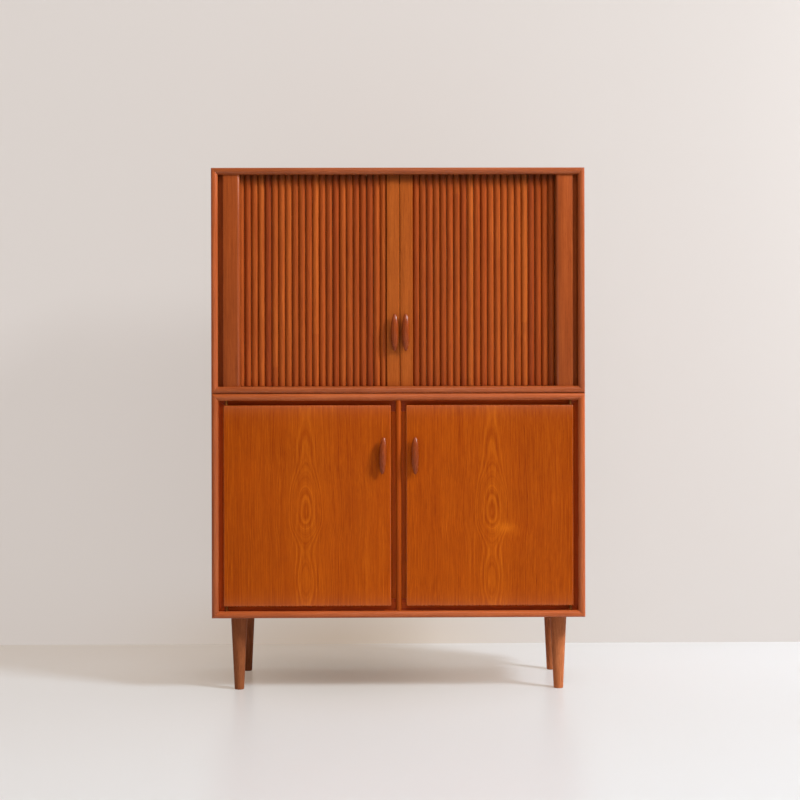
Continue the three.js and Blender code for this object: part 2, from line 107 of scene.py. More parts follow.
def markOn(tree, name):
    return addNode(tree, "Attribute", attribute_name=name).outputs["Fac"]


def scaled(tree, vector, scale):
    return addNode(tree, "Mapping", {"Vector": vector, "Scale": scale}).outputs[0]


# draws a pattern out along one axis
def alongGrain(tree, vector, grain, share):
    return scaled(tree, vector, [share if axis == grain else 1 for axis in "XYZ"])


def noiseAt(tree, vector, scale, detail=2.0, roughness=0.5):
    inputs = {"Vector": vector, "Scale": scale, "Detail": detail, "Roughness": roughness}
    return addNode(tree, "TexNoise", inputs).outputs["Fac"]


# a noise from -reach to reach
def wander(tree, vector, scale, detail, reach):
    return calc(tree, "*+", noiseAt(tree, vector, scale, detail), reach * 2, -reach)


# adds a pattern that runs from 0 to 1, around its middle
def addPattern(tree, value, pattern, share):
    return calc(tree, "*+", pattern, share, calc(tree, "-", value, share / 2))


# 1 in the middle, and less and less with the square of the distance
def fadeOut(tree, squares):
    return calc(tree, "EXPONENT", calc(tree, "*", squares, -1.0))


def mixColours(tree, share, first, second, kind="MIX"):
    inputs = {0: share, 6: first, 7: second}
    return addNode(tree, "Mix", inputs, data_type="RGBA", blend_type=kind).outputs[2]


def filterColour(tree, colour, other):
    return mixColours(tree, 1.0, colour, other, "MULTIPLY")


def rampOf(tree, value, look):
    # from dark to light, at the places that the look gives
    node = addNode(tree, "ValToRGB", {"Fac": value})
    band = node.color_ramp
    names = ["dark", "middle", "light"] if "middle" in look else ["dark", "light"]
    while len(band.elements) < len(names):
        band.elements.new(0.5)
    for element, name, place in zip(band.elements, names, look["stops"]):
        element.position = place
        element.color = tint(*look[name])
    return node.outputs["Color"]


def setSurface(tree, shader, look, colour, roughness, height):
    bump = {"Strength": look["bump"], "Distance": look["bumpDepth"], "Height": height}
    normal = addNode(tree, "Bump", bump).outputs["Normal"]
    setInputs(tree, shader, {"Base Color": colour, "Roughness": roughness, "Normal": normal})


def newMaterial(name):
    material = bpy.data.materials.new(name)
    material.use_nodes = True
    tree = material.node_tree
    tree.nodes.clear()
    shader = addNode(tree, "BsdfPrincipled")
    addNode(tree, "OutputMaterial", {"Surface": shader.outputs["BSDF"]})
    return material, tree, shader, addNode(tree, "TexCoord").outputs["Object"]


# Teak: long streaks, finer lines and short dark pores, all drawn out along the grain

teakLook = {
    "dark": (132, 50, 12), "middle": (166, 74, 20), "light": (192, 98, 38),
    "stops": (0.22, 0.52, 0.82),  # where these three stand between the darkest and the palest grain
    "pore": (96, 36, 10),
    "warp": 0.010,  # how far the grain wanders sideways, in metres
    "warps": 2.6,  # this and the next five are counts to a metre
    "bands": 38, "streaks": 260, "lines": 900, "pores": 1700, "mottles": 7, "grainStretch": 0.02,
    "poreStretch": 0.05, "bandShare": 0.42, "streakShare": 0.50, "lineShare": 0.30,
    "poreRange": (0.60, 0.70), "poreShare": 0.34, "mottleShare": 0.22, "roughness": 0.40,
    "streakGloss": 0.16, "poreGloss": 0.12, "specular": 0.08, "streakHeight": 0.5, "poreHeight": -0.6,
    "bump": 0.16, "bumpDepth": 0.6 * mm,
}


def teakMaterial(name, grain="Z", **changes):
    look = {**teakLook, **changes}
    material, tree, shader, place = newMaterial(name)
    aside = wander(tree, place, look["warps"], 1.0, look["warp"])
    moved = calcVector(tree, "ADD", place, aside)["Vector"]
    long = alongGrain(tree, moved, grain, look["grainStretch"])
    streaks = noiseAt(tree, long, look["streaks"], 3.0, 0.6)
    value = addPattern(tree, 0.5, noiseAt(tree, long, look["bands"]), look["bandShare"])
    value = addPattern(tree, value, streaks, look["streakShare"])
    value = addPattern(tree, value, noiseAt(tree, long, look["lines"], 2.0, 0.6), look["lineShare"])
    for key, add in (("figure", addFigure), ("tone", addTone)):
        if key in look:
            value = add(tree, place, value, look[key])
    colour = rampOf(tree, value, look)
    pores = noiseAt(tree, alongGrain(tree, place, grain, look["poreStretch"]), look["pores"], 1.0)
    start, end = look["poreRange"]
    pits = addNode(tree, "MapRange", {"Value": pores, "From Min": start, "From Max": end}).outputs[0]
    colour = mixColours(tree, calc(tree, "*", pits, look["poreShare"]), colour, tint(*look["pore"]))
    shade = addPattern(tree, 1.0, noiseAt(tree, place, look["mottles"], 3.0), look["mottleShare"])
    # the mottle is the wood's own tone; the share added here is painted light and shade
    shade = calc(tree, "+", shade, markOn(tree, "paintedShade"))
    # painted shade under the top of the upper case
    if "under" in look:
        shade = calc(tree, "*", shade, shadeUnderTop(tree, place, look["under"]))
    colour = filterColour(tree, colour, shade)
    # the rim is a painted sheen along the top and bottom of the doors
    for key, add in (("tone", addRedness), ("lipping", addLipping), ("rim", addPaintedSheen)):
        if key in look:
            colour = add(tree, place, colour, look[key])
    gloss = addPattern(tree, look["roughness"], streaks, look["streakGloss"])
    height = calc(tree, "*", streaks, look["streakHeight"])
    height = calc(tree, "*+", pits, look["poreHeight"], height)
    setInputs(tree, shader, {"Specular IOR Level": look["specular"]})
    setSurface(tree, shader, look, colour, calc(tree, "*+", pits, look["poreGloss"], gloss), height)
    return material


# Flat-sawn figure: the veneer grazes the rings of a log at one height, so they close into an oval there
def addFigure(tree, place, value, figure):
    sway = wander(tree, place, figure["sways"], 2.0, figure["sway"])
    across = calc(tree, "+", calc(tree, "-", partOf(tree, place, "X"), figure["x"]), sway)
    up = calc(tree, "-", partOf(tree, place, "Z"), figure["z"])
    above = calc(tree, "GREATER_THAN", up, 0.0)
    upSlope, downSlope = 1 / figure["upLength"], 1 / figure["downLength"]
    slope = calc(tree, "*+", above, upSlope - downSlope, downSlope)
    hill = fadeOut(tree, squared(tree, calc(tree, "*", up, slope)))
    depth = calc(tree, "*+", hill, -figure["rise"], figure["near"] + figure["rise"])
    rolling = wander(tree, scaled(tree, place, (0, 0, 1)), figure["rolls"], 1.0, figure["roll"])
    depth = calc(tree, "+", depth, calc(tree, "*", rolling, calc(tree, "-", 1.0, hill)))
    ring = calc(tree, "SQRT", calc(tree, "+", squared(tree, across), squared(tree, depth)))
    wave = addNode(tree, "TexNoise", {
        "W": ring, "Scale": figure["rings"], "Detail": 2.0, "Roughness": 0.6}, noise_dimensions="1D")
    value = addPattern(tree, value, wave.outputs["Fac"], figure["share"])
    # the innermost rings stand out
    turns = 2 * math.pi / figure["eyePitch"]
    wave = calc(tree, "COSINE", calc(tree, "*+", ring, turns, -turns * figure["eyeFirst"]))
    fade = fadeOut(tree, squared(tree, calc(tree, "/", ring, figure["eyeReach"])))
    value = calc(tree, "*+", calc(tree, "*", wave, fade), figure["eyeShare"], value)
    # the core of the figure is a little lighter than the rest of the leaf
    core = fadeOut(tree, squared(tree, calc(tree, "/", across, figure["core"])))
    value = calc(tree, "*+", core, figure["coreShare"], value)
    # a painted glint on one door
    if "paintedGlint" in figure:
        value = addPaintedGlint(tree, place, value, figure["paintedGlint"])
    return value


# A painted glint: a soft pale patch beside the figure on the right door
def addPaintedGlint(tree, place, value, paintedGlint):
    right = calc(tree, "/", calc(tree, "-", partOf(tree, place, "X"), paintedGlint["x"]), paintedGlint["width"])
    high = calc(tree, "/", calc(tree, "-", partOf(tree, place, "Z"), paintedGlint["z"]), paintedGlint["height"])
    patch = fadeOut(tree, calc(tree, "+", squared(tree, right), squared(tree, high)))
    return calc(tree, "*+", patch, paintedGlint["share"], value)


# Each slat has its own tone, and a few are jointed from two lengths
def addTone(tree, place, value, tone):
    above = calc(tree, "GREATER_THAN", partOf(tree, place, "Z"), markOn(tree, "slatJoint"))
    own = calc(tree, "*+", above, tone["jointShift"], markOn(tree, "slatTone"))
    return addPattern(tree, value, own, tone["share"])


# Some slats are redder heartwood than others
def addRedness(tree, place, colour, tone):
    drift = noiseAt(tree, alongGrain(tree, place, "Z", tone["redStretch"]), tone["redPatches"])
    share = calc(tree, "+", markOn(tree, "slatRed"), calc(tree, "-", drift, 0.5))
    share = calc(tree, "*", share, tone["redShare"], clamp=True)
    return mixColours(tree, share, colour, filterColour(tree, colour, tint(*tone["red"])))


# The solid lipping on a board's front edge is paler than the veneer, with a thin dark joint between them
def addLipping(tree, place, colour, lipping):
    depth = partOf(tree, place, "Y")
    behind = calc(tree, "GREATER_THAN", depth, lipping["joint"])
    line = calc(tree, "COMPARE", depth, lipping["joint"], lipping["line"])
    near = calc(tree, "-", lipping["nearEnd"], depth)
    near = calc(tree, "/", near, lipping["nearFade"], clamp=True)
    veneer = mixColours(tree, near, tint(*lipping["veneer"]), tint(*lipping["nearVeneer"]))
    colour = mixColours(tree, behind, colour, filterColour(tree, colour, veneer))
    share = calc(tree, "*", line, lipping["lineShare"])
    return mixColours(tree, share, colour, tint(*lipping["lineColour"]))


# A painted sheen: the veneer is a little pinker and paler along the top and bottom of a door
def addPaintedSheen(tree, place, colour, rim):
    height = partOf(tree, place, "Z")
    off = calc(tree, "MINIMUM", calc(tree, "-", height, rim["low"]), calc(tree, "-", rim["high"], height))
    fade = calc(tree, "EXPONENT", calc(tree, "/", off, -rim["reach"]))
    share = calc(tree, "*", fade, rim["share"], clamp=True)
    return mixColours(tree, share, colour, tint(*rim["colour"]))


# Painted shade close under the top of the upper case, where little light gets in: the slats and rails are
# darker there
def shadeUnderTop(tree, place, under):
    down = calc(tree, "-", under["z"], partOf(tree, place, "Z"))
    fade = fadeOut(tree, squared(tree, calc(tree, "/", down, under["reach"])))
    return calc(tree, "*+", fade, -under["share"], 1.0)


# Simple finishes

plyLook = {
    "dark": (124, 78, 42), "middle": (158, 108, 64), "light": (182, 134, 86),
    "stops": (0.30, 0.52, 0.78), "streaks": 130, "stretch": 0.03, "patches": 5, "patchShare": 0.35,
    "roughness": 0.56, "streakGloss": 0.2, "bump": 0.2, "bumpDepth": 0.6 * mm,
}


def plyMaterial():
    look = plyLook
    material, tree, shader, place = newMaterial("backPlywood")
    streaks = noiseAt(tree, alongGrain(tree, place, "Z", look["stretch"]), look["streaks"], 4.0, 0.62)
    patches = noiseAt(tree, place, look["patches"], 3.0)
    value = calc(tree, "*", streaks, 1 - look["patchShare"])
    value = calc(tree, "*+", patches, look["patchShare"], value)
    gloss = calc(tree, "*+", streaks, look["streakGloss"], look["roughness"])
    setSurface(tree, shader, look, rampOf(tree, value, look), gloss, streaks)
    return material


canvasLook = {
    "dark": (120, 102, 74), "middle": (152, 132, 100), "light": (176, 156, 122),
    "stops": (0.25, 0.55, 0.85),
    "threads": 5200,  # radians to a metre
    "weaveShare": 0.14, "dust": 60, "roughness": 0.9, "bump": 0.3, "bumpDepth": 0.3 * mm,
}


def canvasMaterial():
    look = canvasLook
    material, tree, shader, place = newMaterial("curtainCanvas")
    waves = [calc(tree, "*", partOf(tree, place, axis), look["threads"]) for axis in "XZ"]
    weave = calc(tree, "*", calc(tree, "SINE", waves[0]), calc(tree, "SINE", waves[1]))
    value = calc(tree, "*+", weave, look["weaveShare"], noiseAt(tree, place, look["dust"], 3.0))
    setSurface(tree, shader, look, rampOf(tree, value, look), look["roughness"], weave)
    return material


metalLook = {
    "stops": (0.35, 0.65), "stains": 160, "stainGloss": 0.2, "scratches": 2400, "scratchGloss": 0.08,
    "stretch": 0.05, "bump": 0.06, "bumpDepth": 0.2 * mm,
}


def metalMaterial(name, **changes):
    look = {**metalLook, **changes}
    material, tree, shader, place = newMaterial(name)
    stain = noiseAt(tree, place, look["stains"], 4.0, 0.6)
    scratches = noiseAt(tree, alongGrain(tree, place, "X", look["stretch"]), look["scratches"])
    gloss = addPattern(tree, look["roughness"], stain, look["stainGloss"])
    gloss = calc(tree, "*+", scratches, look["scratchGloss"], gloss)
    setInputs(tree, shader, {"Metallic": 1.0})
    setSurface(tree, shader, look, rampOf(tree, stain, look), gloss, scratches)
    return material


# Bmesh helpers

weld = 0.01 * mm
cutSlack = 0.001 * mm


def newVerts(items):
    return [item for item in items if isinstance(item, bmesh.types.BMVert)]


def wholeOf(bm):
    return bm.verts[:] + bm.edges[:] + bm.faces[:]


def faceOut(bm):
    bmesh.ops.recalc_face_normals(bm, faces=bm.faces)


def shift(bm, place):
    bmesh.ops.translate(bm, verts=bm.verts, vec=place)


def turned(degrees, axis):
    return Matrix.Rotation(math.radians(degrees), 4, axis)


def outlineMesh(start, moves):
    # a move is a point to draw a line to, or an arc given as (centre, degrees, steps)
    bm = bmesh.new()
    tip = bm.verts.new((*start, 0))
    for move in moves:
        if len(move) == 3:
            centre, degrees, steps = move
            spun = bmesh.ops.spin(
                bm, geom=[tip], cent=(*centre, 0), axis=(0, 0, 1), angle=math.radians(degrees),
                steps=steps)
            tip = newVerts(spun["geom_last"])[0]
        else:
            tip = bmesh.ops.extrude_vert_indiv(bm, verts=[tip])["verts"][0]
            tip.co = (*move, 0)
    bmesh.ops.remove_doubles(bm, verts=bm.verts, dist=weld)
    bmesh.ops.edgeloop_fill(bm, edges=bm.edges)
    return bm


def swellMove(x0, x1, edgeY, rise, steps):
    # the arc of a rounded front edge, from (x0, edgeY) to (x1, edgeY)
    half = (x1 - x0) / 2
    radius = (half * half + rise * rise) / (2 * rise)
    return ((x0 + half, edgeY - rise + radius), 2 * math.degrees(math.asin(half / radius)), steps)


def prismMesh(start, moves, z0, z1):
    bm = outlineMesh(start, moves)
    shift(bm, (0, 0, z0))
    made = bmesh.ops.extrude_face_region(bm, geom=bm.faces[:])
    bmesh.ops.translate(bm, verts=newVerts(made["geom"]), vec=(0, 0, z1 - z0))
    faceOut(bm)
    return bm


def addBlock(bm, low, high):
    size = [b - a for a, b in zip(low, high)]
    middle = [(a + b) / 2 for a, b in zip(low, high)]
    place = Matrix.Translation(middle) @ Matrix.Diagonal((*size, 1))
    return bmesh.ops.create_cube(bm, size=1, matrix=place)["verts"]


def addShape(bm, shape):
    mesh = bpy.data.meshes.new("shape")
    shape.to_mesh(mesh)
    shape.free()
    bm.from_mesh(mesh)
    bpy.data.meshes.remove(mesh)


def newObject(name, bm, materials=()):
    mesh = bpy.data.meshes.new(name)
    bm.to_mesh(mesh)
    bm.free()
    for material in materials:
        mesh.materials.append(material)
    piece = bpy.data.objects.new(name, mesh)
    scene.collection.objects.link(piece)
    return piece


def applyModifiers(piece):
    seen = piece.evaluated_get(bpy.context.evaluated_depsgraph_get())
    mesh = bpy.data.meshes.new_from_object(seen)
    piece.modifiers.clear()
    old = piece.data
    piece.data = mesh
    bpy.data.meshes.remove(old)


def cutAway(piece, cutters, operation="DIFFERENCE"):
    for cutter in cutters:
        cut = piece.modifiers.new("cut", "BOOLEAN")
        cut.object = cutter
        cut.operation = operation
        cut.solver = "EXACT"
    applyModifiers(piece)
    for cutter in cutters:
        bpy.data.objects.remove(cutter)


def paintShade(piece, rule):
    # painted light and shade by place: the rule gives a small share, lighter or darker, to add to the
    # finish's own shade
    layer = piece.data.attributes.new("paintedShade", "FLOAT", "POINT")
    layer.data.foreach_set("value", [rule(vert.co) for vert in piece.data.vertices])


# How a face has to point to get a finish of its own, as parts of its normal
faceLimits = {"nose": 0.1, "outside": 0.9, "stile": (0.05, 0.1), "doorFlat": 0.97}


def coatFaces(piece, index, chosen):
    for face in piece.data.polygons:
        if chosen(face.center, face.normal):
            face.material_index = index


def finishPiece(piece, body, nodes, arris=0.0, sharp=38):
    # eases the edges sharper than so many degrees, smooths the rest, and lets the piece ride on its body
    if arris:
        bevel = piece.modifiers.new("arris", "BEVEL")
        bevel.width = arris
        bevel.segments = 2
        bevel.limit_method = "ANGLE"
        bevel.angle_limit = math.radians(sharp)
        applyModifiers(piece)
    piece.data.shade_smooth()
    piece.data.set_sharp_from_angle(angle=math.radians(sharp))
    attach(piece, body)
    if nodes:
        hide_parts(*nodes)
    return piece


# Case boards: veneered boards with a rounded lipping, mitred at the corners

boardSizes = {
    "thick": 18.5 * mm, "noseRise": 6 * mm, "noseSteps": 24, "stopSetback": 24 * mm,
    "stopThick": 18 * mm, "stopReach": 33 * mm, "rebate": 6.3 * mm, "backFace": 434 * mm,
    "depth": 440 * mm, "mitreGap": 0.12 * mm, "arris": 0.35 * mm,
    "outerEase": {"upper": 0.3 * mm, "lower": 1.1 * mm},  # opens the joint between the two cases a little
    "easeDepth": 3 * mm,
    "lap": {"upper": 1 * mm, "lower": 1.7 * mm},  # how far the lipping reaches past the board's inner face
    "lapDepth": 10 * mm,
    "lippingDepth": 9 * mm,  # to the joint line between lipping and veneer
    "noseCoat": 6.3 * mm,  # how far back the rounded nose has its own finish
    "innerFrom": 16.65 * mm,  # what lies deeper than this is on the inside of the case
    "outerSlack": 0.05 * mm,
}


def boardMesh(case, length, hasStop):
    size = boardSizes
    ease, lap, nose = size["outerEase"][case], size["lap"][case], size["noseRise"]
    thick, reach, thin = size["thick"], size["thick"] + size["stopReach"], size["thick"] - size["rebate"]
    stopFront, stopBack = size["stopSetback"], size["stopSetback"] + size["stopThick"]
    moves = [swellMove(ease, thick + lap, nose, nose, size["noseSteps"]), (thick, size["lapDepth"])]
    if hasStop:
        moves += [(thick, stopFront), (reach, stopFront), (reach, stopBack), (thick, stopBack)]
    moves += [
        (thick, size["backFace"]), (thin, size["backFace"]), (thin, size["depth"]), (0, size["depth"]),
        (0, nose + size["easeDepth"]), (ease, nose)]
    bm = prismMesh((ease, nose), moves, -length / 2, length / 2)
    for end in (-1, 1):
        cut = bmesh.ops.bisect_plane(
            bm, geom=wholeOf(bm), dist=cutSlack, plane_co=(0, 0, end * (length / 2 - size["mitreGap"])),
            plane_no=(1, 0, end), clear_outer=True)
        rim = [item for item in cut["geom_cut"] if isinstance(item, bmesh.types.BMEdge)]
        bmesh.ops.edgeloop_fill(bm, edges=rim)
    faceOut(bm)
    return bm


trackSizes = {
    "setback": 34 * mm, "width": 7 * mm, "depth": 8 * mm, "toSide": 12 * mm, "bend": 30 * mm, "steps": 16,
    "runOut": 5 * mm,  # how far the cutter passes the back edge
}
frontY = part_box("upper_side_left")[0].y
trackY = frontY + trackSizes["setback"]


def trackCutter(insideX, z0, z1):
    size = trackSizes
    sideX = insideX - size["toSide"]
    bendX, bendY = sideX - size["bend"], size["setback"] + size["bend"]
    half, end = size["width"] / 2, boardSizes["depth"] + size["runOut"]
    moves = [
        (-sideX - half, bendY), ((-bendX, bendY), 90, size["steps"]),
        (bendX, size["setback"] - half), ((bendX, bendY), 90, size["steps"]),
        (sideX + half, end), (sideX - half, end),
        (sideX - half, bendY), ((bendX, bendY), -90, size["steps"]),
        (-bendX, size["setback"] + half), ((-bendX, bendY), -90, size["steps"]),
        (-sideX + half, end), (-sideX - half, end)]
    return prismMesh((-sideX - half, end), moves, z0, z1)


hingeSizes = {"recess": 2.6 * mm, "gap": 0.3 * mm}


def hingeRecess(node, z0, z1):
    low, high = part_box(node)
    gap = hingeSizes["gap"]
    bm = bmesh.new()
    addBlock(bm, (low.x - gap, low.y - gap, z0), (high.x + gap, high.y + gap, z1))
    return newObject("recess", bm)


# Painted light and shade: a share added to each board's shade, and more painted light on its inside past
# the doors
boardPaintedShade = {
    "upper_top": -0.19, "upper_bottom": -0.12, "upper_side_left": 0.10, "upper_side_right": -0.06,
    "lower_top": 0.09, "lower_bottom": 0.14, "lower_side_left": -0.10, "lower_side_right": 0.10,
}
moatPaintedLight = {"lower_side_left": 0.65, "lower_bottom": 0.25, "lower_side_right": 0.12}


def buildCase(case, hasStop):
    size = boardSizes
    left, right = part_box(f"{case}_side_left"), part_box(f"{case}_side_right")
    low = Vector((left[0].x, left[0].y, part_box(f"{case}_bottom")[0].z))
    high = Vector((right[1].x, 0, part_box(f"{case}_top")[1].z))
    width, height = high.x - low.x, high.z - low.z
    middleX, middleZ = (low.x + high.x) / 2, (low.z + high.z) / 2
    floorZ, ceilingZ = low.z + size["thick"], high.z - size["thick"]
    noseBack = low.y + size["noseCoat"]
    plans = {
        "side_left": (height, (low.x, low.y, middleZ), 0, "Z"),
        "side_right": (height, (high.x, low.y, middleZ), 180, "Z"),
        "top": (width, (middleX, low.y, high.z), 90, "X"),
        "bottom": (width, (middleX, low.y, low.z), -90, "X"),
    }
    for part, (length, place, turn, grain) in plans.items():
        bm = boardMesh(case, length, hasStop)
        bm.transform(Matrix.Translation(place) @ turned(turn, "Y"))
        finishes = [frameTeak[grain], lippingTeak[grain], sideTeak[grain]]
        board = newObject(f"{case}_{part}_board", bm, finishes)
        if part in ("top", "bottom"):
            depth = trackSizes["depth"] if case == "upper" else hingeSizes["recess"]
            span = (ceilingZ - mm, ceilingZ + depth) if part == "top" else (floorZ - depth, floorZ + mm)
            if case == "upper":
                track = trackCutter(high.x - size["thick"], *span)
                shift(track, (0, low.y, 0))
                cutters = [newObject("track", track)]
            else:
                cutters = [hingeRecess(f"hinge_pin_leaf_{side}_{part}", *span) for side in sides]
            cutAway(board, cutters)
        finishPiece(board, "case", [f"{case}_{part}"], size["arris"])
        outward = turned(turn, "Y").to_3x3() @ Vector((-1, 0, 0))
        coatFaces(board, 1, lambda centre, normal: centre.y < noseBack and normal.y < -faceLimits["nose"])
        coatFaces(board, 2, lambda centre, normal: normal.dot(outward) > faceLimits["outside"])
        # painted light and shade for this board, and painted light in its moat
        own, moat = boardPaintedShade[f"{case}_{part}"], moatPaintedLight.get(f"{case}_{part}", 0)
        outside = max(vert.co.dot(outward) for vert in board.data.vertices) - size["outerSlack"]
        rim = size["innerFrom"]
        paintShade(board, lambda co: 0 if co.dot(outward) > outside else own + moat * (
            co.y > noseBack and min(co.x - low.x, high.x - co.x, co.z - low.z, high.z - co.z) > rim))


# Stiles: flat strips with a rounded inner edge that hide the bend of the curtains

stileSizes = {
    "thick": 18 * mm, "lap": 3 * mm, "moat": 15 * mm, "round": 8 * mm, "steps": 12, "arris": 0.4 * mm,
}
# painted shade: the left stile a little lighter, the right a little darker
stilePaintedShade = {"left": 0.03, "right": -0.03}


def buildStile(side, sign):
    low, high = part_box(f"stile_{side}")
    size = stileSizes
    wide = high.x - low.x
    back, far = size["thick"], high.y - low.y
    radius, moat = size["round"], size["moat"]
    bm = prismMesh((0, back), [
        (moat, back), (moat, 0), (wide - radius, 0), ((wide - radius, radius), 90, size["steps"]),
        (wide, back), (moat + size["lap"], back), (moat + size["lap"], far), (0, far), (0, back),
    ], 0, high.z - low.z)
    if sign > 0:
        bmesh.ops.scale(bm, verts=bm.verts, vec=(-1, 1, 1))
        faceOut(bm)
    shift(bm, (low.x if sign < 0 else high.x, low.y, low.z))
    stile = newObject(f"stile_{side}_strip", bm, [stileTeak, stileEdgeTeak])
    finishPiece(stile, "case", [f"stile_{side}"], size["arris"])
    paintShade(stile, lambda co: stilePaintedShade[side])
    edgeBack = low.y + radius
    front, aside = faceLimits["stile"]
    coatFaces(stile, 1, lambda centre, normal: (
        centre.y < edgeBack and normal.y < -front and abs(normal.x) > aside))


# Centre post: a rounded nose in front of the wide stop that both doors close against

postSizes = {
    "width": 15 * mm, "rise": 4.5 * mm, "steps": 16, "toStop": 20 * mm, "stopThick": 18 * mm,
    "noseGap": 0.05 * mm,  # between the nose and the stop behind it
    "endGap": 0.3 * mm, "arris": 0.3 * mm, "stopPaintedLight": 0.5,
}


def buildPost():
    low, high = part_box("centre_post")
    size = postSizes
    half, edge = size["width"] / 2, low.y + size["rise"]
    stopFront = low.y + size["toStop"]
    noseBack = stopFront - size["noseGap"]
    bm = prismMesh((-half, edge), [
        swellMove(-half, half, edge, size["rise"], size["steps"]),
        (half, noseBack), (-half, noseBack), (-half, edge),
    ], low.z, high.z)
    reach = boardSizes["stopReach"] + size["endGap"]
    addBlock(bm, (low.x, stopFront, low.z + reach), (high.x, stopFront + size["stopThick"], high.z - reach))
    post = newObject("centre_post_strip", bm, [postTeak])
    finishPiece(post, "case", ["centre_post"], size["arris"])
    between = (noseBack + stopFront) / 2
    # painted light on the stop behind the nose, which lies in shade between the doors
    paintShade(post, lambda co: size["stopPaintedLight"] if co.y > between else 0.0)


# Lower doors: veneered leaves with eased edges, let in for the hinge leaves

doorSizes = {"ease": 3.6 * mm, "easeSteps": 6}
# painted light and shade on the doors: darker at the top, lighter towards the bottom, and darker on the
# outer half
doorPaintedShade = {
    "left": {"top": -0.05, "fall": 0.14, "outer": -0.02},
    "right": {"top": 0.02, "fall": 0.15, "outer": -0.19},
}


def buildDoor(side):
    low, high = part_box(f"door_{side}")
    bm = bmesh.new()
    addBlock(bm, low, high)
    bmesh.ops.bevel(
        bm, geom=bm.edges[:], offset=doorSizes["ease"], offset_type="OFFSET", affect="EDGES",
        segments=doorSizes["easeSteps"], profile=0.5, material=-1)
    door = newObject(f"door_{side}_leaf", bm, [doorTeak[side], doorEdgeTeak])
    depth = hingeSizes["recess"]
    spans = {"bottom": (low.z - mm, low.z + depth), "top": (high.z - depth, high.z + mm)}
    cutAway(door, [hingeRecess(f"hinge_door_leaf_{side}_{end}", *span) for end, span in spans.items()])
    finishPiece(door, f"lower_door_{side}", [f"door_{side}"])
    coatFaces(door, 1, lambda centre, normal: max(abs(value) for value in normal) < faceLimits["doorFlat"])
    outer, tall, half = high.x if side == "right" else low.x, high.z - low.z, (high.x - low.x) / 2
    # painted shade from the top down and on the outer half
    paintedShares = doorPaintedShade[side]
    paintShade(door, lambda co: paintedShares["top"] + paintedShares["fall"] * (high.z - co.z) / tall + (
        paintedShares["outer"] if abs(co.x - outer) < half else 0))


# Handles: a leaf with a soft keel that stands off its door on a short foot

handleSizes = {
    "length": 105 * mm, "width": 21.6 * mm, "stand": 24 * mm, "tipStand": 11 * mm, "neck": 9 * mm,
    "bodyPower": 0.8,  # how soon the grip comes forward from its tips
    "keelSlope": 0.22, "keelSoft": 1.6 * mm,
    "blunt": 2.08,  # 2 is an ellipse seen from the front, more is blunter
    "square": 3.0,  # the same for the section
    "segments": 48, "rings": 56, "footLength": 34 * mm, "footFlare": 4 * mm,
    "footSink": 3 * mm,  # how far the foot reaches into the grip
    "footWidthShare": 0.32,
    "footFlareShare": 0.4,  # of the flare, across
    "footSquare": 2.6, "footRings": 10, "sharp": 42,
}


def bulged(value, square):
    # turns a circle's coordinate into that of a squarer round
    return math.copysign(abs(value) ** (2 / square), value)


def leafPoint(point):
    # sends a point of a unit sphere to the leaf: X across, Y out of the door, Z along
    size = handleSizes
    along = max(-1, min(1, point.z))
    blunt, tip, soft = size["blunt"], size["tipStand"], size["keelSoft"]
    across = size["width"] / 2 * (1 - abs(along) ** blunt) ** (1 / blunt)
    flat = math.hypot(point.x, point.y) or 1
    body = (1 - along * along) ** size["bodyPower"]
    front = tip + (size["stand"] - tip) * body
    back = tip - (tip - size["neck"]) * body
    x = bulged(point.x / flat, size["square"]) * across
    out = (front + back) / 2 + bulged(-point.y / flat, size["square"]) * (front - back) / 2
    keel = (math.hypot(x, soft) - soft) * size["keelSlope"]
    return Vector((x, keel - out, along * size["length"] / 2))


def handleMesh():
    size = handleSizes
    bm = bmesh.new()
    bmesh.ops.create_uvsphere(bm, u_segments=size["segments"], v_segments=size["rings"], radius=1)
    for vert in bm.verts:
        vert.co = leafPoint(vert.co)
    bmesh.ops.remove_doubles(bm, verts=bm.verts, dist=weld / 2)
    faceOut(bm)
    return bm


def footMesh():
    # the foot: a rounded block, flared where it meets the door and the grip
    size = handleSizes
    bm = bmesh.new()
    depth = size["neck"] + size["footSink"]
    bmesh.ops.create_cone(
        bm, cap_ends=True, segments=size["segments"], radius1=1, radius2=1, depth=depth,
        matrix=Matrix.Translation((0, 0, depth / 2)))
    for step in range(1, size["footRings"]):
        bmesh.ops.bisect_plane(
            bm, geom=wholeOf(bm), dist=cutSlack, plane_co=(0, 0, depth * step / size["footRings"]),
            plane_no=(0, 0, 1))
    for vert in bm.verts:
        flare = size["footFlare"] * (2 * vert.co.z / depth - 1) ** 2
        wide = size["width"] * size["footWidthShare"] + flare * size["footFlareShare"]
        tall = size["footLength"] / 2 + flare
        square = size["footSquare"]
        vert.co = (bulged(vert.co.x, square) * wide, -vert.co.z, bulged(vert.co.y, square) * tall)
    faceOut(bm)
    return bm


def buildHandle(node, body, lean):
    low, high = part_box(node)
    grip = newObject(f"{node}_leaf", handleMesh(), [handleTeak])
    cutAway(grip, [newObject("foot", footMesh())], "UNION")
    middle = Vector(((low.x + high.x) / 2, low.y + handleSizes["stand"], (low.z + high.z) / 2))
    grip.data.transform(Matrix.Translation(middle) @ turned(lean, "Y"))
    finishPiece(grip, body, [node], sharp=handleSizes["sharp"])


# Curtains: half-round slats on canvas behind a flat lead rail, with tongues that run in the track

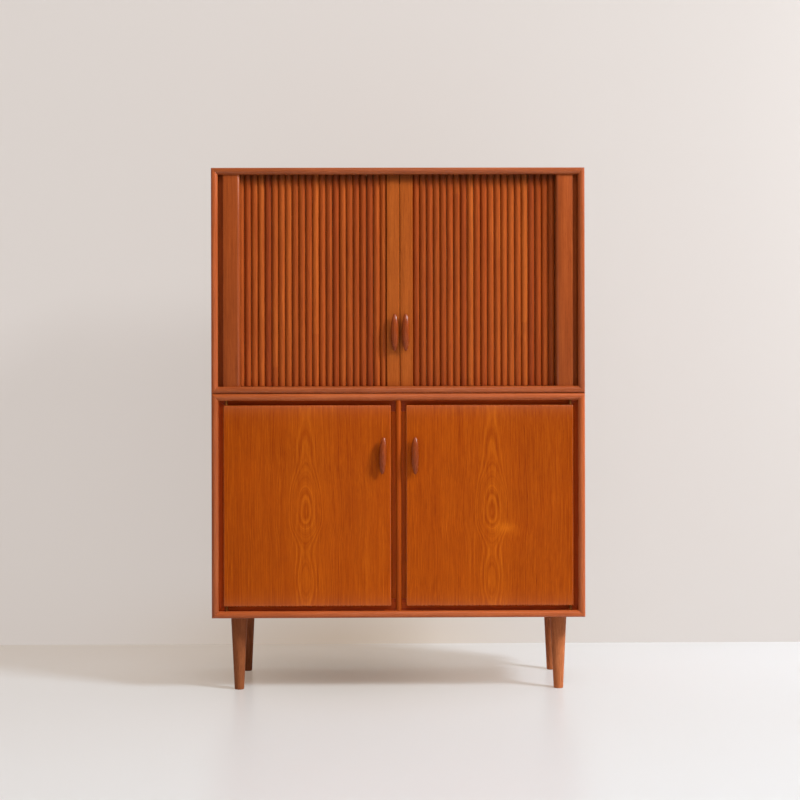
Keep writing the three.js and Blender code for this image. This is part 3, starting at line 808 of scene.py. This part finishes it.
curtainSizes = {
    "pitch": 19.1 * mm, "slatWidth": 18.5 * mm, "swell": 6.6 * mm, "crest": 6 * mm, "back": 3 * mm,
    "canvas": 1 * mm, "glue": 0.02 * mm, "steps": 14, "tongueWidth": 12 * mm, "tongueThick": 5 * mm,
    "tongueReach": 7.2 * mm, "shoulder": 1 * mm,
    "twist": 0.9,  # most that a slat is turned, in degrees
    "offset": 0.1 * mm,  # most that a slat stands forward or back
    "jointedShare": 0.16, "strips": 8, "sharp": 30,
    "squeeze": 0.085,  # how much thinner each next strip gets where they gather
}
noJoint = 100.0  # a height that no slat reaches
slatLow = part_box("upper_bottom")[1].z + curtainSizes["shoulder"]
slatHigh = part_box("upper_top")[0].z - curtainSizes["shoulder"]


def addTongues(bm, wide):
    half, reach = curtainSizes["tongueThick"] / 2, curtainSizes["tongueReach"]
    for end in (slatLow - reach, slatHigh):
        addBlock(bm, (-wide / 2, -half, end), (wide / 2, half, end + reach))


def slatMesh(count):
    size = curtainSizes
    half, edge, back = size["slatWidth"] / 2, size["swell"] - size["crest"], size["back"]
    whole = bmesh.new()
    tone, joint, red = [whole.verts.layers.float.new(name) for name in ("slatTone", "slatJoint", "slatRed")]
    for index in range(count):
        one = prismMesh((-half, back), [
            (-half, edge), swellMove(-half, half, edge, size["swell"], size["steps"]),
            (half, back), (-half, back),
        ], slatLow, slatHigh)
        addTongues(one, size["tongueWidth"])
        twist = turned(dice.uniform(-1, 1) * size["twist"], "Z")
        aside = (index - (count - 1) / 2) * size["pitch"]
        one.transform(Matrix.Translation((aside, dice.uniform(-1, 1) * size["offset"], 0)) @ twist)
        before = len(whole.verts)
        addShape(whole, one)
        whole.verts.ensure_lookup_table()
        ownTone, ownRed = dice.random(), dice.random()
        ownJoint = dice.uniform(slatLow, slatHigh) if dice.random() < size["jointedShare"] else noJoint
        for vert in whole.verts[before:]:
            vert[tone] = ownTone
            vert[joint] = ownJoint
            vert[red] = ownRed
    wide = count * size["pitch"] / 2 - (size["pitch"] - size["slatWidth"]) / 2
    cloth = addBlock(whole, (-wide, back + size["glue"], slatLow), (wide, back + size["canvas"], slatHigh))
    for face in {face for vert in cloth for face in vert.link_faces}:
        face.material_index = 1
    return whole


def buildStrip(side, number):
    node = f"curtain_{side}_{number}"
    low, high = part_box(node)
    size = curtainSizes
    count = round((high.x - low.x + size["pitch"] - size["slatWidth"]) / size["pitch"])
    bm = slatMesh(count)
    shift(bm, ((low.x + high.x) / 2, trackY, 0))
    strip = newObject(f"{node}_slats", bm, [slatTeak, curtainCanvas])
    body = f"tambour_{side}" if number == 1 else f"tambour_{side}_strip_{number}"
    finishPiece(strip, body, [node], sharp=size["sharp"])
    if number > 1:
        # open, the strips lie one inside the other behind the stile
        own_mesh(strip)


railSizes = {"crest": 9 * mm, "back": 5 * mm, "ease": 1.5 * mm, "steps": 6, "tongueWidth": 20 * mm}


def buildRail(side):
    low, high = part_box(f"lead_rail_{side}")
    size = railSizes
    half, ease, front = (high.x - low.x) / 2, size["ease"], -size["crest"]
    bm = prismMesh((-half, size["back"]), [
        (-half, front + ease), ((-half + ease, front + ease), 90, size["steps"]),
        (half - ease, front), ((half - ease, front + ease), 90, size["steps"]),
        (half, size["back"]), (-half, size["back"]),
    ], slatLow, slatHigh)
    addTongues(bm, size["tongueWidth"])
    shift(bm, ((low.x + high.x) / 2, trackY, 0))
    rail = newObject(f"lead_rail_{side}_strip", bm, [railTeak])
    finishPiece(rail, f"tambour_{side}", [f"lead_rail_{side}"], sharp=curtainSizes["sharp"])


# Legs: a turned taper

legSizes = {
    "top": 23.5 * mm, "foot": 13.5 * mm, "ease": 2 * mm, "easeSteps": 5,
    "gap": 0.1 * mm,  # under the lower case
    "segments": 72,
}
# painted light and shade on the legs, from top to foot: the left legs darker, the right legs lighter
# towards the foot
legPaintedShade = {"left": {"top": -0.19, "foot": -0.28}, "right": {"top": 0.05, "foot": 0.44}}


def buildLeg(node):
    low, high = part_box(node)
    size = legSizes
    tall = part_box("lower_bottom")[0].z - size["gap"]
    centre = size["foot"] - size["ease"]
    bm = outlineMesh((0, 0), [
        (centre, 0), ((centre, size["ease"]), 90, size["easeSteps"]), (size["top"], tall), (0, tall)])
    bmesh.ops.delete(bm, geom=bm.faces[:], context="FACES_ONLY")
    bm.transform(turned(90, "X"))
    bmesh.ops.spin(
        bm, geom=bm.verts[:] + bm.edges[:], cent=(0, 0, 0), axis=(0, 0, 1), angle=math.radians(360),
        steps=size["segments"], use_merge=True)
    bmesh.ops.remove_doubles(bm, verts=bm.verts, dist=weld)
    faceOut(bm)
    shift(bm, ((low.x + high.x) / 2, (low.y + high.y) / 2, 0))
    leg = newObject(f"{node}_taper", bm, [legTeak])
    finishPiece(leg, "case", [node])
    paintedShares = legPaintedShade["left" if low.x < 0 else "right"]
    paintShade(leg, lambda co: paintedShares["foot"] + (paintedShares["top"] - paintedShares["foot"]) * co.z / tall)


# Screws: small countersunk heads with one slot

screwSizes = {
    "depth": 0.5 * mm, "topShare": 0.86, "slotShare": 0.14, "slotDepth": 0.35 * mm, "segments": 20,
    "backRadius": 2.6 * mm,
    "backEdge": 3.2 * mm,  # from the edge of the back board to the middle of a screw
    "backInset": 40 * mm, "backAcross": 6, "backUp": 3, "hingeRadius": 2.8 * mm,
    "hingePlaces": (0.46, 0.84),  # as shares of the leaf, from its pivot
}


def onTop(parts):
    highest = screwSizes["depth"] / 2 - weld
    return [part for part in parts if min(vert.co.z for vert in part.verts) > highest]


def addScrew(bm, place, facing, radius):
    size = screwSizes
    head = bmesh.new()
    bmesh.ops.create_cone(
        head, cap_ends=True, segments=size["segments"], radius1=radius, radius2=radius * size["topShare"],
        depth=size["depth"])
    for slot in (-radius * size["slotShare"], radius * size["slotShare"]):
        bmesh.ops.bisect_plane(
            head, geom=onTop(head.faces) + onTop(head.edges), dist=cutSlack / 10, plane_co=(0, slot, 0),
            plane_no=(0, slot, 0))
    middle = min(onTop(head.faces), key=lambda face: abs(face.calc_center_median().y))
    made = bmesh.ops.extrude_face_region(head, geom=[middle])
    bmesh.ops.translate(head, verts=newVerts(made["geom"]), vec=(0, 0, -size["slotDepth"]))
    turn = Matrix.Rotation(dice.uniform(0, math.pi), 4, "Z")
    aim = Vector(facing).to_track_quat("Z", "Y").to_matrix().to_4x4()
    head.transform(Matrix.Translation(place) @ aim @ turn)
    addShape(bm, head)


def buildBackScrews(case):
    low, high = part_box(f"{case}_back")
    size = screwSizes
    bm = bmesh.new()
    edge, inset, across, up = size["backEdge"], size["backInset"], size["backAcross"], size["backUp"] + 1
    places = [
        (low.x + inset + (high.x - low.x - 2 * inset) * step / (across - 1), z)
        for z in (low.z + edge, high.z - edge) for step in range(across)]
    places += [
        (x, low.z + (high.z - low.z) * step / up)
        for x in (low.x + edge, high.x - edge) for step in range(1, up)]
    for x, z in places:
        addScrew(bm, (x, high.y, z), (0, 1, 0), size["backRadius"])
    screws = newObject(f"{case}_back_screws", bm, [screwSteel])
    finishPiece(screws, "case", [])


def buildHingeScrews(side, sign, end):
    # the leaves run from the pivot toward the middle of the cabinet
    for kind, body, up in (("pin", "case", 1), ("door", f"lower_door_{side}", -1)):
        node = f"hinge_{kind}_leaf_{side}_{end}"
        low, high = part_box(node)
        if kind == "door":
            level = low.z if end == "bottom" else high.z
        elif end == "bottom":
            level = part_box("lower_bottom")[0].z + boardSizes["thick"]
        else:
            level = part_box("lower_top")[1].z - boardSizes["thick"]
        pivot = high.x if sign > 0 else low.x
        bm = bmesh.new()
        for share in screwSizes["hingePlaces"]:
            x = pivot - sign * (high.x - low.x) * share
            facing = (0, 0, up if end == "bottom" else -up)
            addScrew(bm, (x, (low.y + high.y) / 2, level), facing, screwSizes["hingeRadius"])
        screws = newObject(f"{node}_screws", bm, [hingeBrass])
        finishPiece(screws, body, [])


# Finishes of this cabinet

lippingLook = {
    "joint": frontY + boardSizes["lippingDepth"], "line": 0.12 * mm, "lineShare": 0.7,
    "lineColour": (92, 38, 12),
    "veneer": (246, 220, 184),  # what the lipping's colour is multiplied by
    "nearVeneer": (244, 196, 118),  # the same in the front of the inside, redder and darker: painted shade for the shadow gaps around doors and stiles
    "nearEnd": frontY + 62 * mm, "nearFade": 14 * mm,
}
# the outer faces get a duller, darker veneer, partly to match the doors' hue and partly painted shade where
# the window lamp falls full on them
sideLook = {**lippingLook, "veneer": (238, 209, 158), "nearVeneer": (238, 209, 158)}
# painted shade under the top: how high it is darkest, how far it reaches, and how much
shadeUnderLook = {"z": slatHigh - 5 * mm, "reach": 11 * mm, "share": 0.5}
toneLook = {
    "share": 0.16, "jointShift": 0.5, "red": (236, 214, 214), "redShare": 0.7, "redStretch": 0.12,
    "redPatches": 60}
figureLook = {
    "z": 0.507, "upLength": 0.085, "downLength": 0.055, "near": 0.005, "rise": 0.036, "sways": 9,
    "sway": 0.005, "rolls": 4.5, "roll": 0.015, "rings": 330, "share": 0.40, "eyeFirst": 0.013,
    "eyePitch": 0.0116, "eyeReach": 0.030, "eyeShare": 0.12, "core": 0.045, "coreShare": 0.08,
}
# a painted glint on the right door: where, how wide, how tall and how strong
paintedGlintLook = {"x": 0.300, "z": 0.462, "width": 0.032, "height": 0.015, "share": 0.24}
# a painted sheen along the top and bottom of the doors
paintedSheenLook = {
    "low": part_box("door_left")[0].z, "high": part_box("door_left")[1].z, "reach": 14 * mm, "share": 0.26,
    "colour": (188, 108, 78)}

frameColours = {"dark": (131, 56, 20), "middle": (168, 80, 36), "light": (194, 104, 52)}
stileColours = {"dark": (116, 48, 15), "middle": (153, 70, 27), "light": (180, 92, 40)}
doorColours = {"dark": (132, 46, 1), "middle": (166, 70, 4), "light": (195, 96, 12)}
innerColours = {"dark": (128, 58, 24), "middle": (160, 80, 36), "light": (182, 100, 50)}


def bothGrains(name, **look):
    return {grain: teakMaterial(f"{name}{grain}", grain, **look, **frameColours) for grain in "XZ"}


frameTeak = bothGrains("frameTeak", lipping=lippingLook, specular=0.12, roughness=0.36)
sideTeak = bothGrains("sideTeak", lipping=sideLook, specular=0.25, roughness=0.4)
lippingTeak = bothGrains("lippingTeak", specular=0.26, roughness=0.27)
stileTeak = teakMaterial("stileTeak", **stileColours)
stileEdgeTeak = teakMaterial("stileEdgeTeak", specular=0.3, roughness=0.3, **stileColours)
postTeak = teakMaterial("postTeak", dark=(124, 44, 3), middle=(160, 66, 9), light=(184, 87, 18))
railTeak = teakMaterial(
    "railTeak", dark=(129, 54, 11), middle=(165, 79, 24), light=(188, 99, 37), lineShare=0.5,
    under=shadeUnderLook)
slatTeak = teakMaterial(
    "slatTeak", dark=(115, 43, 14), middle=(157, 70, 21), light=(193, 99, 34), bandShare=0.25,
    specular=0.12, under=shadeUnderLook, tone=toneLook)
handleTeak = teakMaterial(
    "handleTeak", dark=(96, 33, 1), middle=(139, 54, 5), light=(169, 78, 13), roughness=0.27,
    specular=0.25)
legTeak = teakMaterial(
    "legTeak", dark=(121, 60, 30), middle=(162, 91, 52), light=(188, 115, 70), lineShare=0.5,
    roughness=0.5)
innerTeak = teakMaterial("innerTeak", **innerColours)
shelfTeak = teakMaterial("shelfTeak", "X", **innerColours)
doorEdgeTeak = teakMaterial("doorEdgeTeak", specular=0.38, roughness=0.27, **doorColours)
doorTeak = {
    "left": teakMaterial(
        "doorVeneerLeft", figure={**figureLook, "x": -0.261}, bandShare=0.16, streakShare=0.40,
        lineShare=0.56, rim=paintedSheenLook, specular=0.05, **doorColours),
    "right": teakMaterial(
        "doorVeneerRight", figure={**figureLook, "x": 0.262, "paintedGlint": paintedGlintLook}, bandShare=0.18,
        streakShare=0.44, lineShare=0.62, rim=paintedSheenLook, specular=0.05, **doorColours),
}
backPlywood = plyMaterial()
curtainCanvas = canvasMaterial()
hingeBrass = metalMaterial("hingeBrass", dark=(98, 50, 20), light=(132, 78, 34), roughness=0.5)
screwSteel = metalMaterial("screwSteel", dark=(120, 116, 108), light=(168, 164, 156), roughness=0.38)
print("stage: finishes made")

buildCase("upper", False)
buildCase("lower", True)
print("stage: cases built")

for side, sign in sides.items():
    buildStile(side, sign)
    buildDoor(side)
    buildRail(side)
    for number in range(1, curtainSizes["strips"] + 1):
        buildStrip(side, number)
    for end in ("bottom", "top"):
        buildHingeScrews(side, sign, end)
buildPost()
print("stage: doors and curtains built")

handleLean = {"lower_handle_left": 2.3}  # degrees
for side in sides:
    buildHandle(f"upper_handle_{side}", f"tambour_{side}", 0)
    buildHandle(f"lower_handle_{side}", f"lower_door_{side}", handleLean.get(f"lower_handle_{side}", 0))
for node in ("leg_front_left", "leg_front_right", "leg_back_left", "leg_back_right"):
    buildLeg(node)
for case in ("upper", "lower"):
    buildBackScrews(case)
print("stage: handles, legs and screws built")

# Pieces that keep their CAD shape get their finish here

carried = {
    "upper_back": backPlywood, "lower_back": backPlywood, "upper_shelf": shelfTeak,
    "lower_partition": innerTeak,
}
for side in sides:
    carried[f"liner_{side}"] = innerTeak
    carried[f"lower_shelf_{side}"] = shelfTeak
    carried[f"locating_dowel_{side}"] = innerTeak
    carried[f"magnet_catch_{side}"] = screwSteel
    for kind in ("pin", "door"):
        for end in ("bottom", "top"):
            carried[f"hinge_{kind}_leaf_{side}_{end}"] = hingeBrass
for name, material in carried.items():
    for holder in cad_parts[name].material_slots:
        holder.material = material

# Floor, wall, light and camera

# Floor and wall are partly seen as plain glow, which softens the shadows
# The glow is weaker around a point under the cabinet, a painted shadow: how much, around which point, and
# how far along X, Y and Z
floorLook = {
    "colour": (207, 218, 228), "glow": (241, 220, 200), "glowShare": 0.40,
    "shade": (0.70, (-0.15, 0.1, 0), (0.38, 0.40, 1)), "roughness": 0.28,
}
wallLook = {
    "colour": (222, 217, 214), "glow": (219, 209, 202), "glowShare": 0.76,
    "shade": (0.25, (-0.15, 0.63, 0), (0.5, 1, 0.14)), "roughness": 0.8,
}
roomLook = {
    # the tint warms floor and wall around the same point, a painted warm shade
    "size": 14, "wallY": 0.63, "paintedShadeTint": (255, 244, 229), "clouds": 0.7, "cloudShare": 0.03,
}


def raysSeen(tree):
    rays = addNode(tree, "LightPath").outputs
    through = calc(tree, "MAXIMUM", rays["Is Glossy Ray"], rays["Is Transmission Ray"])
    return calc(tree, "MAXIMUM", rays["Is Camera Ray"], through)


def stageMaterial(name, look, oneSided):
    material, tree, shader, place = newMaterial(name)
    weaker, centre, reach = look["shade"]
    away = calcVector(tree, "SUBTRACT", place, centre)["Vector"]
    away = calcVector(tree, "DIVIDE", away, reach)["Vector"]
    near = fadeOut(tree, calcVector(tree, "DOT_PRODUCT", away, away)["Value"])
    # painted shadow: floor and wall warmer and their glow weaker around that point
    shadeWarmth = mixColours(tree, near, (1, 1, 1, 1), tint(*roomLook["paintedShadeTint"]))
    paint = addPattern(tree, 1.0, noiseAt(tree, place, roomLook["clouds"]), roomLook["cloudShare"])
    base = filterColour(tree, filterColour(tree, tint(*look["colour"]), paint), shadeWarmth)
    setInputs(tree, shader, {"Base Color": base, "Roughness": look["roughness"]})
    shine = addNode(tree, "Emission", {"Color": filterColour(tree, tint(*look["glow"]), shadeWarmth)})
    share = calc(tree, "*+", near, -weaker * look["glowShare"], look["glowShare"])
    share = calc(tree, "*", raysSeen(tree), share)
    surface = addNode(tree, "MixShader", {0: share, 1: shader.outputs[0], 2: shine.outputs[0]})
    if oneSided:
        clear = addNode(tree, "BsdfTransparent").outputs[0]
        back = addNode(tree, "NewGeometry").outputs["Backfacing"]
        surface = addNode(tree, "MixShader", {0: back, 1: surface.outputs[0], 2: clear})
    output = [node for node in tree.nodes if node.type == "OUTPUT_MATERIAL"][0]
    tree.links.new(surface.outputs[0], output.inputs["Surface"])
    return material


def stagePiece(name, material, place):
    bm = bmesh.new()
    bmesh.ops.create_grid(bm, x_segments=1, y_segments=1, size=roomLook["size"])
    bm.transform(place)
    return newObject(name, bm, [material])


def buildRoom():
    upright = Matrix.Translation((0, roomLook["wallY"], 0)) @ turned(90, "X")
    floorPiece = stagePiece("floor", stageMaterial("floorPaint", floorLook, False), Matrix.Identity(4))
    wallPiece = stagePiece("wall", stageMaterial("wallPaint", wallLook, True), upright)


# Each lamp has its place, the point it looks at, its size, its power and its colour
lampLook = {
    "windowLight": ((6.03, -3.91, 6.17), (0, 0, 0.75), (2.0, 1.8), 850, (0.94, 1, 1.05)),
    "lowLight": ((0.4, -5.2, 0.9), (0, 0, 0.4), (3.2, 1.4), 15, (1, 0.98, 0.95)),
    "topLight": ((0.4, -3.6, 4.4), (0, 0.1, 0.6), (2.6, 1.6), 46, (1, 0.98, 0.95)),
    "sideLight": ((2.4, -0.1, 1.6), (2.2, 0.6, 1.6), (0.4, 1.6), 24, (0.96, 1, 1.04)),
}
skyLook = {
    "colour": (240, 227, 214),
    "strength": 0.32,  # on the object
    "seen": 0.7,  # as a background and in reflections
}


def addLamp(name, place, aim, size, power, colour):
    lamp = bpy.data.lights.new(name, "AREA")
    lamp.shape = "RECTANGLE"
    lamp.size, lamp.size_y = size
    lamp.energy = power
    lamp.color = colour
    holder = bpy.data.objects.new(name, lamp)
    holder.location = place
    holder.rotation_euler = (Vector(aim) - Vector(place)).to_track_quat("-Z", "Y").to_euler()
    holder.visible_camera = False
    scene.collection.objects.link(holder)


def buildLight():
    look = skyLook
    world = bpy.data.worlds.new("softSky")
    world.use_nodes = True
    tree = world.node_tree
    tree.nodes.clear()
    strength = calc(tree, "*+", raysSeen(tree), look["seen"] - look["strength"], look["strength"])
    glow = addNode(tree, "Background", {"Color": tint(*look["colour"]), "Strength": strength})
    addNode(tree, "OutputWorld", {"Surface": glow.outputs[0]})
    scene.world = world
    for name, lamp in lampLook.items():
        addLamp(name, *lamp)


cameraLook = {
    "place": (0.030, -6.01, 1.100), "lens": 93.0, "sensor": 36, "reach": 100,
    "roll": 0.12,  # degrees
    "yaw": -0.76, "shiftX": -0.0453, "shiftY": -0.1238,
}


def buildCamera():
    look = cameraLook
    camera = bpy.data.cameras.new("photoCamera")
    camera.lens = look["lens"]
    camera.sensor_width = look["sensor"]
    camera.shift_x = look["shiftX"]
    camera.shift_y = look["shiftY"]
    camera.clip_end = look["reach"]
    holder = bpy.data.objects.new("photoCamera", camera)
    holder.location = look["place"]
    holder.rotation_euler = (math.radians(90), math.radians(look["roll"]), math.radians(look["yaw"]))
    scene.collection.objects.link(holder)
    scene.camera = holder


buildRoom()
buildLight()
buildCamera()
scene.view_settings.view_transform = "Standard"
print("stage: room, light and camera set")
